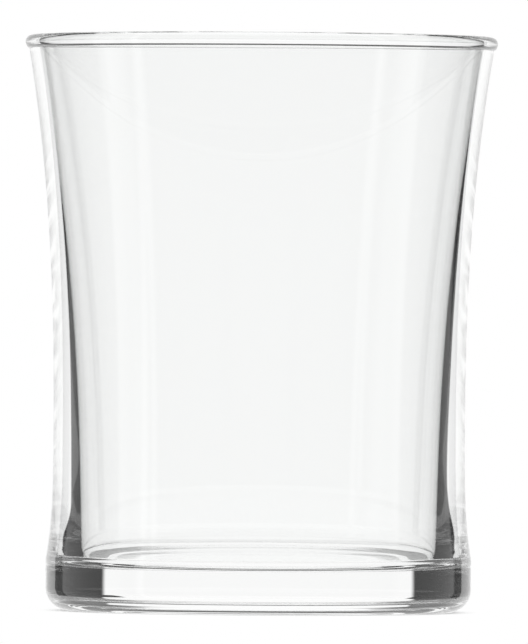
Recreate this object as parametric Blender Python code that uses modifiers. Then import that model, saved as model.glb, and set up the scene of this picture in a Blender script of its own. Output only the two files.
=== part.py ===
"""A rocks glass: a waisted tumbler of clear pressed glass with a thick base and a beaded lip.

It is one turned piece. It stands on the origin, its axis is +Z, and all sizes are in metres.
"""

import math

import bpy

# Driving dimensions: the outside
HEIGHT = 0.100
RIM_RADIUS = 0.0411
WAIST_RADIUS = 0.0358
WAIST_HEIGHT = 0.030
FOOT_RADIUS = 0.0370
FOOT_HEIGHT = 0.0090
HEEL_RADIUS = 0.0040

# Driving dimensions: the inside and the base
WALL_THICKNESS = 0.0048
BASE_THICKNESS = 0.0071
FILLET_WIDTH = 0.0070
FILLET_HEIGHT = 0.0020
RECESS_DEPTH = 0.0008
BEARING_WIDTH = 0.0028

# Driving dimensions: the bead round the lip
BEAD_WIDTH = 0.0021
BEAD_HEIGHT = 0.0024
BEAD_PROUD = 0.00065

# How each curve bends: 1 is a straight cone, 2 a parabola, and more bends later
FLARE_POWER = 2.45
FOOT_POWER = 3.0
BORE_POWER = 2.15

# How finely the curves are divided
TURN_STEPS = 72
WALL_STEPS = 9
FOOT_STEPS = 4
ROUND_STEPS = 6

# The glass itself
GLASS_COLOUR = (0.98, 0.985, 0.98, 1.0)
GLASS_ROUGHNESS = 0.02
GLASS_IOR = 1.52

# Places worked out from the dimensions
BEAD_REACH = (BEAD_WIDTH / 2, BEAD_HEIGHT / 2)
BEAD_CENTRE = (RIM_RADIUS - BEAD_WIDTH / 2, HEIGHT - BEAD_HEIGHT / 2)
BEAD_JOIN_ANGLE = -math.degrees(math.acos(1.0 - BEAD_PROUD / BEAD_REACH[0]))
WALL_TOP_RADIUS = RIM_RADIUS - BEAD_PROUD
WALL_TOP_HEIGHT = BEAD_CENTRE[1] + BEAD_REACH[1] * math.sin(math.radians(BEAD_JOIN_ANGLE))
MOUTH_RADIUS = RIM_RADIUS - BEAD_WIDTH
BORE_RADIUS = WAIST_RADIUS - WALL_THICKNESS
FLOOR_RADIUS = BORE_RADIUS - FILLET_WIDTH
FILLET_TOP_HEIGHT = BASE_THICKNESS + FILLET_HEIGHT
BEARING_RADIUS = FOOT_RADIUS - HEEL_RADIUS
RECESS_RADIUS = BEARING_RADIUS - BEARING_WIDTH


def outer_radius(height):
    """The outside of the wall above the foot: it narrows to the waist and flares to the bead."""
    if height < WAIST_HEIGHT:
        fall = (WAIST_HEIGHT - height) / (WAIST_HEIGHT - FOOT_HEIGHT)
        return WAIST_RADIUS + (FOOT_RADIUS - WAIST_RADIUS) * fall**FOOT_POWER
    rise = (height - WAIST_HEIGHT) / (WALL_TOP_HEIGHT - WAIST_HEIGHT)
    return WAIST_RADIUS + (WALL_TOP_RADIUS - WAIST_RADIUS) * rise**FLARE_POWER


def inner_radius(height):
    """The inside of the wall, which opens from the bore at the floor to the mouth."""
    rise = (height - FILLET_TOP_HEIGHT) / (BEAD_CENTRE[1] - FILLET_TOP_HEIGHT)
    return BORE_RADIUS + (MOUTH_RADIUS - BORE_RADIUS) * rise**BORE_POWER


def recess_height(radius):
    """The underside inside the bearing ring, a shallow dome."""
    return RECESS_DEPTH * (1.0 - (radius / RECESS_RADIUS) ** 2)


def evenly(start, end, steps):
    """Even steps from one value to another, both ends included."""
    return [start + (end - start) * step / steps for step in range(steps + 1)]


def ellipse_arc(centre, reach, start, end):
    """Points on an ellipse, given by its two reaches, from one angle to another in degrees."""
    points = []
    for degrees in evenly(start, end, ROUND_STEPS):
        angle = math.radians(degrees)
        points.append((centre[0] + reach[0] * math.cos(angle), centre[1] + reach[1] * math.sin(angle)))
    return points


def inside_outline():
    """From the middle of the floor out along it, round the fillet and up the inner wall."""
    fillet = ellipse_arc((FLOOR_RADIUS, FILLET_TOP_HEIGHT), (FILLET_WIDTH, FILLET_HEIGHT), -90, 0)
    wall = [(inner_radius(h), h) for h in evenly(FILLET_TOP_HEIGHT, BEAD_CENTRE[1], WALL_STEPS)]
    return [(0.0, BASE_THICKNESS)] + fillet[:-1] + wall[:-1]


def lip_outline():
    """Over the bead, from the mouth to where it meets the outer wall."""
    inner_half = ellipse_arc(BEAD_CENTRE, BEAD_REACH, 180, 90)
    outer_half = ellipse_arc(BEAD_CENTRE, BEAD_REACH, 90, 0)
    under = ellipse_arc(BEAD_CENTRE, BEAD_REACH, 0, BEAD_JOIN_ANGLE)
    return inner_half[:-1] + outer_half[:-1] + under[:-1]


def outside_outline():
    """Down the outer wall, the foot and the heel to the bearing ring, and over the recess to the axis."""
    flare = [(outer_radius(h), h) for h in evenly(WALL_TOP_HEIGHT, WAIST_HEIGHT, WALL_STEPS)]
    foot = [(outer_radius(h), h) for h in evenly(WAIST_HEIGHT, FOOT_HEIGHT, FOOT_STEPS)]
    heel = ellipse_arc((BEARING_RADIUS, HEEL_RADIUS), (HEEL_RADIUS, HEEL_RADIUS), 0, -90)
    recess = [(radius, recess_height(radius)) for radius in evenly(RECESS_RADIUS, 0.0, ROUND_STEPS)]
    return flare[:-1] + foot + heel + recess


def clear_glass():
    material = bpy.data.materials.new("clear_glass")
    material.use_nodes = True
    shader = material.node_tree.nodes["Principled BSDF"]
    shader.inputs["Base Color"].default_value = GLASS_COLOUR
    shader.inputs["Metallic"].default_value = 0.0
    shader.inputs["Roughness"].default_value = GLASS_ROUGHNESS
    shader.inputs["IOR"].default_value = GLASS_IOR
    shader.inputs["Transmission Weight"].default_value = 1.0
    return material


def turned(name, outline, material, collection):
    """Turns an outline of radius and height round the Z axis into one smooth solid."""
    points = [(radius, 0.0, height) for radius, height in outline]
    edges = [(index, index + 1) for index in range(len(points) - 1)]
    mesh = bpy.data.meshes.new(name)
    mesh.from_pydata(points, edges, [])
    mesh.materials.append(material)
    piece = bpy.data.objects.new(name, mesh)
    collection.objects.link(piece)
    screw = piece.modifiers.new("turn", "SCREW")
    screw.steps = TURN_STEPS
    screw.render_steps = TURN_STEPS
    screw.use_merge_vertices = True
    screw.merge_threshold = 0.00001
    screw.use_smooth_shade = True
    return piece


def build():
    for old in list(bpy.data.objects):
        bpy.data.objects.remove(old, do_unlink=True)
    collection = bpy.data.collections.new("rocks_glass")
    bpy.context.scene.collection.children.link(collection)
    outline = inside_outline() + lip_outline() + outside_outline()
    turned("tumbler", outline, clear_glass(), collection)


build()
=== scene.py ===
"""The looks of the rocks glass: a finely turned mesh of clear glass, a floor, a studio and a camera."""

import math

import bpy
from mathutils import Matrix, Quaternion, Vector


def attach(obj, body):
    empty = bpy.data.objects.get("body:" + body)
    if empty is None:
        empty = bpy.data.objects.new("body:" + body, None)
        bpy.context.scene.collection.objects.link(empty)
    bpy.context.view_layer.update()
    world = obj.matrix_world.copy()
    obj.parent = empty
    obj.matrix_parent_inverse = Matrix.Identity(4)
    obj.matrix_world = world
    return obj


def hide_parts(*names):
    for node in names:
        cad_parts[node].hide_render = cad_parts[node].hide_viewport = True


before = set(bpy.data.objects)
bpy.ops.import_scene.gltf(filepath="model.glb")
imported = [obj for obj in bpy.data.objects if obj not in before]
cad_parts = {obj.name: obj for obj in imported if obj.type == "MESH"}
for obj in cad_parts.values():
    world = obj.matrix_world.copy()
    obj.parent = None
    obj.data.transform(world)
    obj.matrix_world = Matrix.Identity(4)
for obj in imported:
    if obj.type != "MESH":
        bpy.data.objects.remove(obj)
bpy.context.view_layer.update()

# The glass, in metres, as the part's source has it
HEIGHT = 0.100
RIM_RADIUS = 0.0411
WAIST_RADIUS = 0.0358
WAIST_HEIGHT = 0.030
FOOT_RADIUS = 0.0370
FOOT_HEIGHT = 0.0090
HEEL_RADIUS = 0.0040
WALL_THICKNESS = 0.0048
BASE_THICKNESS = 0.0071
FILLET_WIDTH = 0.0070
FILLET_HEIGHT = 0.0020
RECESS_DEPTH = 0.0008
BEARING_WIDTH = 0.0028
BEAD_WIDTH = 0.0021
BEAD_HEIGHT = 0.0024
BEAD_PROUD = 0.00065
FLARE_POWER = 2.45
FOOT_POWER = 3.0
BORE_POWER = 2.15

# Places worked out from the sizes
BEAD_REACH = (BEAD_WIDTH / 2, BEAD_HEIGHT / 2)
BEAD_CENTRE = (RIM_RADIUS - BEAD_WIDTH / 2, HEIGHT - BEAD_HEIGHT / 2)
BEAD_JOIN_ANGLE = -math.degrees(math.acos(1.0 - BEAD_PROUD / BEAD_REACH[0]))
WALL_TOP_RADIUS = RIM_RADIUS - BEAD_PROUD
WALL_TOP_HEIGHT = BEAD_CENTRE[1] + BEAD_REACH[1] * math.sin(math.radians(BEAD_JOIN_ANGLE))
MOUTH_RADIUS = RIM_RADIUS - BEAD_WIDTH
BORE_RADIUS = WAIST_RADIUS - WALL_THICKNESS
FLOOR_RADIUS = BORE_RADIUS - FILLET_WIDTH
FILLET_TOP_HEIGHT = BASE_THICKNESS + FILLET_HEIGHT
BEARING_RADIUS = FOOT_RADIUS - HEEL_RADIUS
RECESS_RADIUS = BEARING_RADIUS - BEARING_WIDTH

# How finely the mesh is divided
TURN_STEPS = 256
WALL_STEPS = 60
FOOT_STEPS = 20
ROUND_STEPS = 20
FLAT_STEPS = 6
SHARP_ANGLE = 35.0

# The glass's own finish
GLASS_COLOUR = (0.995, 1.0, 0.997, 1.0)
GLASS_IOR = 1.52
WAVE_SCALE = 70.0
WAVE_DETAIL = 1.0
WAVE_HEIGHT = 0.000004
HAZE_SCALE = 17.5
HAZE_DETAIL = 3.0
HAZE_RANGE = (0.35, 0.65)
POLISH = (0.0, 0.012)

# The studio in degrees: turns run from 0 behind the glass to 180 behind the camera, and tilts from level
BACK_PANEL_HALF = 35.5
PANEL_TOP = 22.0
PANEL_EDGE = 1.0
FLAG_END = 47.0
BASE_FLAG_END = 86.0
FLAG_EDGE = 2.0
FLAG_TOP = (6.0, 10.0)
LEFT_SLANT = (-15.0, -7.0)
RIGHT_SLANT = (-14.0, -4.0)
SLANT_HALF = 21.0
TABLE_EDGE = -22.0
CEILING = (46.0, 56.0)
FRONT_START = (95.0, 105.0)
FRONT_LOW = (-4.0, -1.0)
STRIP_MIDDLE = 113.0
STRIP_HALF = 4.0

# How often light crosses the surface in the solid base, and half a step for telling counts apart
BASE_CROSSINGS = 2.0
HALF_STEP = 0.5

# How often light may be mirrored or bent: inside the wall it is mirrored many times before it leaves
BOUNCES = 128

# How bright each part of the studio is, where 1 is white
WHITE = (1.0, 1.0, 1.0, 1.0)
BACKDROP_LIGHT = 1.0
PANEL_LIGHT = 1.0
SIDE_LIGHT = 0.75
CLEAR_LIGHT = 0.9
FRONT_LIGHT = 0.4
BASE_FRONT_LIGHT = 0.2
CEILING_LIGHT = 0.95
FLAG_LIGHT = 0.07
BASE_FLAG_LIGHT = 0.02
FLAG_TOP_LIGHT = 0.15
STRIP_LIGHT = 0.7

# The floor
STAGE_RADIUS = 0.041
STAGE_DROP = 0.00002
STAGE_STEPS = 96
# Painted shadow on the floor beside the heel, seen only by light through the solid base: where it begins
# and ends across, and how bright it leaves the floor
PAINTED_HEEL_SHADE_EDGE = (0.0305, 0.0345)
PAINTED_HEEL_SHADE = 0.1
SHADOW_FADE = (0.030, 0.039)

# The photograph's frame: pixels, metres per pixel on the plane of the axis, and the camera
PHOTO_WIDTH = 528
PHOTO_HEIGHT = 644
METRES_PER_PIXEL = 0.0001739
AXIS_COLUMN = 260.0
STANDING_ROW = 611.3
CAMERA_DISTANCE = 2.5
CAMERA_ROLL = 0.38
SENSOR_WIDTH = 36.0


def outer_radius(height):
    """The outside of the wall above the foot: it narrows to the waist and flares to the bead."""
    if height < WAIST_HEIGHT:
        fall = (WAIST_HEIGHT - height) / (WAIST_HEIGHT - FOOT_HEIGHT)
        return WAIST_RADIUS + (FOOT_RADIUS - WAIST_RADIUS) * fall**FOOT_POWER
    rise = (height - WAIST_HEIGHT) / (WALL_TOP_HEIGHT - WAIST_HEIGHT)
    return WAIST_RADIUS + (WALL_TOP_RADIUS - WAIST_RADIUS) * rise**FLARE_POWER


def inner_radius(height):
    """The inside of the wall, which opens from the bore at the floor to the mouth."""
    rise = (height - FILLET_TOP_HEIGHT) / (BEAD_CENTRE[1] - FILLET_TOP_HEIGHT)
    return BORE_RADIUS + (MOUTH_RADIUS - BORE_RADIUS) * rise**BORE_POWER


def recess_height(radius):
    """The underside inside the bearing ring, a shallow dome."""
    return RECESS_DEPTH * (1.0 - (radius / RECESS_RADIUS) ** 2)


def evenly(start, end, steps):
    """Even steps from one value to another, both ends included."""
    return [start + (end - start) * step / steps for step in range(steps + 1)]


def ellipse_arc(centre, reach, start, end):
    """Points on an ellipse, given by its two reaches, from one angle to another in degrees."""
    points = []
    for degrees in evenly(start, end, ROUND_STEPS):
        angle = math.radians(degrees)
        points.append((centre[0] + reach[0] * math.cos(angle), centre[1] + reach[1] * math.sin(angle)))
    return points


def inside_outline():
    """From the middle of the floor out along it, round the fillet and up the inner wall."""
    floor = [(radius, BASE_THICKNESS) for radius in evenly(0.0, FLOOR_RADIUS, FLAT_STEPS)]
    fillet = ellipse_arc((FLOOR_RADIUS, FILLET_TOP_HEIGHT), (FILLET_WIDTH, FILLET_HEIGHT), -90, 0)
    wall = [(inner_radius(h), h) for h in evenly(FILLET_TOP_HEIGHT, BEAD_CENTRE[1], WALL_STEPS)]
    return floor[:-1] + fillet[:-1] + wall[:-1]


def lip_outline():
    """Over the bead, from the mouth to where it meets the outer wall."""
    inner_half = ellipse_arc(BEAD_CENTRE, BEAD_REACH, 180, 90)
    outer_half = ellipse_arc(BEAD_CENTRE, BEAD_REACH, 90, 0)
    under = ellipse_arc(BEAD_CENTRE, BEAD_REACH, 0, BEAD_JOIN_ANGLE)
    return inner_half[:-1] + outer_half[:-1] + under[:-1]


def outside_outline():
    """Down the outer wall, the foot and the heel to the bearing ring, and over the recess to the axis."""
    flare = [(outer_radius(h), h) for h in evenly(WALL_TOP_HEIGHT, WAIST_HEIGHT, WALL_STEPS)]
    foot = [(outer_radius(h), h) for h in evenly(WAIST_HEIGHT, FOOT_HEIGHT, FOOT_STEPS)]
    heel = ellipse_arc((BEARING_RADIUS, HEEL_RADIUS), (HEEL_RADIUS, HEEL_RADIUS), 0, -90)
    ring = [(radius, 0.0) for radius in evenly(BEARING_RADIUS, RECESS_RADIUS, FLAT_STEPS)]
    recess = [(radius, recess_height(radius)) for radius in evenly(RECESS_RADIUS, 0.0, ROUND_STEPS)]
    return flare[:-1] + foot + heel + ring[1:-1] + recess


def turned(name, outline, material):
    """Turns an outline that starts and ends on the axis into one smooth closed mesh."""
    turns = [2 * math.pi * step / TURN_STEPS for step in range(TURN_STEPS)]
    points = []
    for radius, height in outline[1:-1]:
        points += [(radius * math.cos(turn), radius * math.sin(turn), height) for turn in turns]
    first_pole = len(points)
    last_pole = first_pole + 1
    points += [(0.0, 0.0, outline[0][1]), (0.0, 0.0, outline[-1][1])]
    last_ring = first_pole - TURN_STEPS
    faces = []
    for side in range(TURN_STEPS):
        beside = (side + 1) % TURN_STEPS
        faces.append((first_pole, side, beside))
        for ring in range(0, last_ring, TURN_STEPS):
            above = ring + TURN_STEPS
            faces.append((ring + side, above + side, above + beside, ring + beside))
        faces.append((last_pole, last_ring + beside, last_ring + side))
    mesh = bpy.data.meshes.new(name)
    mesh.from_pydata(points, [], faces)
    mesh.shade_smooth()
    mesh.set_sharp_from_angle(angle=math.radians(SHARP_ANGLE))
    mesh.materials.append(material)
    piece = bpy.data.objects.new(name, mesh)
    bpy.context.scene.collection.objects.link(piece)
    return piece


class Graph:
    """Short calls that add nodes to one node tree."""

    def __init__(self, tree):
        self.tree = tree

    def add(self, kind, **inputs):
        """Adds a node, and sets or links its inputs by name, with _ for a space."""
        node = self.tree.nodes.new("ShaderNode" + kind)
        for name, value in inputs.items():
            self.give(node.inputs[name.replace("_", " ")], value)
        return node

    def give(self, socket, value):
        """Links the socket to another node's output, or sets it to a plain value."""
        if isinstance(value, bpy.types.NodeSocket):
            self.tree.links.new(value, socket)
        else:
            socket.default_value = value

    def math(self, operation, *values):
        node = self.tree.nodes.new("ShaderNodeMath")
        node.operation = operation
        for socket, value in zip(node.inputs, values):
            self.give(socket, value)
        return node.outputs[0]

    def ramp(self, value, start, end, low, high):
        """Runs smoothly from low, where the value is at start, to high, where it is at end."""
        node = self.add("MapRange", Value=value, From_Min=start, From_Max=end, To_Min=low, To_Max=high)
        node.interpolation_type = "SMOOTHSTEP"
        return node.outputs[0]

    def turn_ramp(self, value, limits, low, high):
        """The same for an angle, with its limits in degrees."""
        return self.ramp(value, math.radians(limits[0]), math.radians(limits[1]), low, high)

    def past(self, value, end, edge):
        """Runs from 0 to 1 where an angle passes its end, over an edge in degrees to either side."""
        return self.turn_ramp(self.math("SUBTRACT", value, end), (-edge, edge), 0.0, 1.0)

    def choose(self, flag, yes, no):
        """The first value where the flag is 1, the second where it is 0, and a blend between."""
        node = self.tree.nodes.new("ShaderNodeMix")
        self.give(node.inputs["Factor"], flag)
        self.give(node.inputs["A"], no)
        self.give(node.inputs["B"], yes)
        return node.outputs[0]


def clear_glass():
    """Clear fire-polished glass: faint waves left by the mould, and a polish that varies a little."""
    material = bpy.data.materials.new("clear_glass")
    material.use_nodes = True
    graph = Graph(material.node_tree)
    shader = material.node_tree.nodes["Principled BSDF"]
    place = graph.add("TexCoord").outputs["Object"]
    waves = graph.add("TexNoise", Vector=place, Scale=WAVE_SCALE, Detail=WAVE_DETAIL)
    haze = graph.add("TexNoise", Vector=place, Scale=HAZE_SCALE, Detail=HAZE_DETAIL)
    bump = graph.add("Bump", Height=waves.outputs["Fac"], Strength=1.0, Distance=WAVE_HEIGHT)
    polish = graph.ramp(haze.outputs["Fac"], *HAZE_RANGE, *POLISH)
    graph.give(shader.inputs["Base Color"], GLASS_COLOUR)
    graph.give(shader.inputs["Roughness"], polish)
    graph.give(shader.inputs["IOR"], GLASS_IOR)
    graph.give(shader.inputs["Transmission Weight"], 1.0)
    graph.give(shader.inputs["Normal"], bump.outputs["Normal"])
    return material


def through_base(graph):
    """1 for light that has crossed the surface twice, as it does in the solid base, and 0 for the rest."""
    crossings = graph.add("LightPath").outputs["Transmission Depth"]
    return graph.math("COMPARE", crossings, BASE_CROSSINGS, HALF_STEP)


def straight_through(graph):
    """1 for light that has crossed both walls and been mirrored by neither, and 0 for the rest."""
    path = graph.add("LightPath").outputs
    crossed = graph.math("GREATER_THAN", path["Transmission Depth"], BASE_CROSSINGS + HALF_STEP)
    unmirrored = graph.math("LESS_THAN", path["Glossy Depth"], HALF_STEP)
    return graph.math("MULTIPLY", crossed, unmirrored)


def panel_half(graph, across, tilt, in_base):
    """Half the panel's width as an angle: for light through the base it narrows towards the table."""
    wide = math.radians(BACK_PANEL_HALF)
    narrow = math.radians(SLANT_HALF)
    left = graph.turn_ramp(tilt, LEFT_SLANT, narrow, wide)
    right = graph.turn_ramp(tilt, RIGHT_SLANT, narrow, wide)
    slant = graph.choose(graph.math("LESS_THAN", across, 0.0), left, right)
    return graph.choose(in_base, slant, wide)


def walls(graph, turn, tilt, in_base):
    """A dark flag beside the panel, then a pale wall and a darker front."""
    low_front = graph.turn_ramp(tilt, FRONT_LOW, CLEAR_LIGHT, BASE_FRONT_LIGHT)
    front = graph.choose(in_base, low_front, FRONT_LIGHT)
    wall = graph.choose(graph.turn_ramp(turn, FRONT_START, 0.0, 1.0), front, SIDE_LIGHT)
    base_flag = graph.turn_ramp(tilt, FLAG_TOP, BASE_FLAG_LIGHT, FLAG_TOP_LIGHT)
    flag = graph.choose(in_base, base_flag, FLAG_LIGHT)
    flag_end = graph.choose(in_base, math.radians(BASE_FLAG_END), math.radians(FLAG_END))
    wall = graph.choose(graph.past(turn, flag_end, FLAG_EDGE), wall, flag)
    return graph.choose(straight_through(graph), CLEAR_LIGHT, wall)


def strip(graph, across, along):
    """One soft upright strip of light, at the left and a little in front of the glass."""
    left_turn = graph.math("ARCTAN2", graph.math("MULTIPLY", across, -1.0), along)
    off_strip = graph.math("ABSOLUTE", graph.math("SUBTRACT", left_turn, math.radians(STRIP_MIDDLE)))
    return graph.ramp(off_strip, 0.0, math.radians(STRIP_HALF), STRIP_LIGHT, 0.0)


def studio():
    """A bright panel behind the glass, walls round it, a ceiling and a strip of light."""
    world = bpy.data.worlds.new("studio")
    bpy.context.scene.world = world
    world.use_nodes = True
    graph = Graph(world.node_tree)
    direction = graph.add("TexCoord").outputs["Generated"]
    across, along, up = graph.add("SeparateXYZ", Vector=direction).outputs
    turn = graph.math("ARCTAN2", graph.math("ABSOLUTE", across), along)
    tilt = graph.math("ARCSINE", up)
    in_base = through_base(graph)
    past_panel = graph.past(turn, panel_half(graph, across, tilt, in_base), PANEL_EDGE)
    above_table = graph.past(tilt, math.radians(TABLE_EDGE), PANEL_EDGE)
    beside = graph.math("MULTIPLY", past_panel, above_table)
    low = graph.choose(beside, walls(graph, turn, tilt, in_base), PANEL_LIGHT)
    above_panel = graph.past(tilt, math.radians(PANEL_TOP), PANEL_EDGE)
    ceiling = graph.turn_ramp(tilt, CEILING, FLAG_LIGHT, CEILING_LIGHT)
    room = graph.choose(above_panel, ceiling, low)
    room = graph.math("ADD", room, strip(graph, across, along))
    light_path = graph.add("LightPath").outputs
    in_glass = graph.math("MAXIMUM", light_path["Is Glossy Ray"], light_path["Is Transmission Ray"])
    light = graph.choose(in_glass, room, BACKDROP_LIGHT)
    light = graph.choose(light_path["Is Camera Ray"], BACKDROP_LIGHT, light)
    background = world.node_tree.nodes["Background"]
    graph.give(background.inputs["Color"], WHITE)
    graph.give(background.inputs["Strength"], light)


def floor_material():
    """White paper that takes the glass's shadow close by and runs out into the white backdrop; light
    through the solid base sees a painted shadow on it beside the heel.
    """
    material = bpy.data.materials.new("white_floor")
    material.use_nodes = True
    graph = Graph(material.node_tree)
    material.node_tree.nodes.remove(material.node_tree.nodes["Principled BSDF"])
    place = graph.add("TexCoord").outputs["Object"]
    distance = graph.add("VectorMath", Vector=place)
    distance.operation = "LENGTH"
    near = graph.ramp(distance.outputs["Value"], *SHADOW_FADE, 1.0, 0.0)
    is_camera = graph.add("LightPath").outputs["Is Camera Ray"]
    across = graph.math("ABSOLUTE", graph.add("SeparateXYZ", Vector=place).outputs[0])
    # Painted shadow: the floor's glow is darker beside the heel for light through the solid base
    painted_heel_shade = graph.ramp(across, *PAINTED_HEEL_SHADE_EDGE, PANEL_LIGHT, PAINTED_HEEL_SHADE)
    under = graph.choose(through_base(graph), painted_heel_shade, PANEL_LIGHT)
    glow = graph.add("Emission", Strength=graph.choose(is_camera, BACKDROP_LIGHT, under))
    paper = graph.add("BsdfDiffuse", Color=WHITE)
    mix = graph.add("MixShader")
    graph.give(mix.inputs[0], graph.math("MULTIPLY", is_camera, near))
    graph.give(mix.inputs[1], glow.outputs[0])
    graph.give(mix.inputs[2], paper.outputs[0])
    graph.give(material.node_tree.nodes["Material Output"].inputs["Surface"], mix.outputs[0])
    return material


def floor():
    """A round stage just under the glass."""
    turns = [2 * math.pi * step / STAGE_STEPS for step in range(STAGE_STEPS)]
    points = [(STAGE_RADIUS * math.cos(turn), STAGE_RADIUS * math.sin(turn), -STAGE_DROP) for turn in turns]
    mesh = bpy.data.meshes.new("floor")
    mesh.from_pydata(points, [], [tuple(range(STAGE_STEPS))])
    mesh.materials.append(floor_material())
    piece = bpy.data.objects.new("floor", mesh)
    bpy.context.scene.collection.objects.link(piece)
    return piece


def camera():
    """Level with the middle of the glass and far off, as in the photograph."""
    lens = bpy.data.cameras.new("camera")
    lens.sensor_width = SENSOR_WIDTH
    # The sensor's width lies along the taller side of the frame
    frame_height = PHOTO_HEIGHT * METRES_PER_PIXEL
    lens.lens = SENSOR_WIDTH * CAMERA_DISTANCE / frame_height
    eye = bpy.data.objects.new("camera", lens)
    bpy.context.scene.collection.objects.link(eye)
    middle_across = (PHOTO_WIDTH / 2 - AXIS_COLUMN) * METRES_PER_PIXEL
    middle_up = (STANDING_ROW - PHOTO_HEIGHT / 2) * METRES_PER_PIXEL
    eye.location = (middle_across, -CAMERA_DISTANCE, middle_up)
    level = Vector((0.0, 1.0, 0.0)).to_track_quat("-Z", "Y")
    eye.rotation_mode = "QUATERNION"
    eye.rotation_quaternion = level @ Quaternion((0.0, 0.0, 1.0), math.radians(CAMERA_ROLL))
    bpy.context.scene.camera = eye


def light_paths():
    """Lets light be mirrored and bent often enough."""
    cycles = bpy.context.scene.cycles
    cycles.max_bounces = BOUNCES
    cycles.transmission_bounces = BOUNCES
    cycles.glossy_bounces = BOUNCES


camera()
glass = turned("glass", inside_outline() + lip_outline() + outside_outline(), clear_glass())
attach(glass, "root")
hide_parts("tumbler")
floor()
studio()
light_paths()
bpy.context.scene.view_settings.view_transform = "Standard"
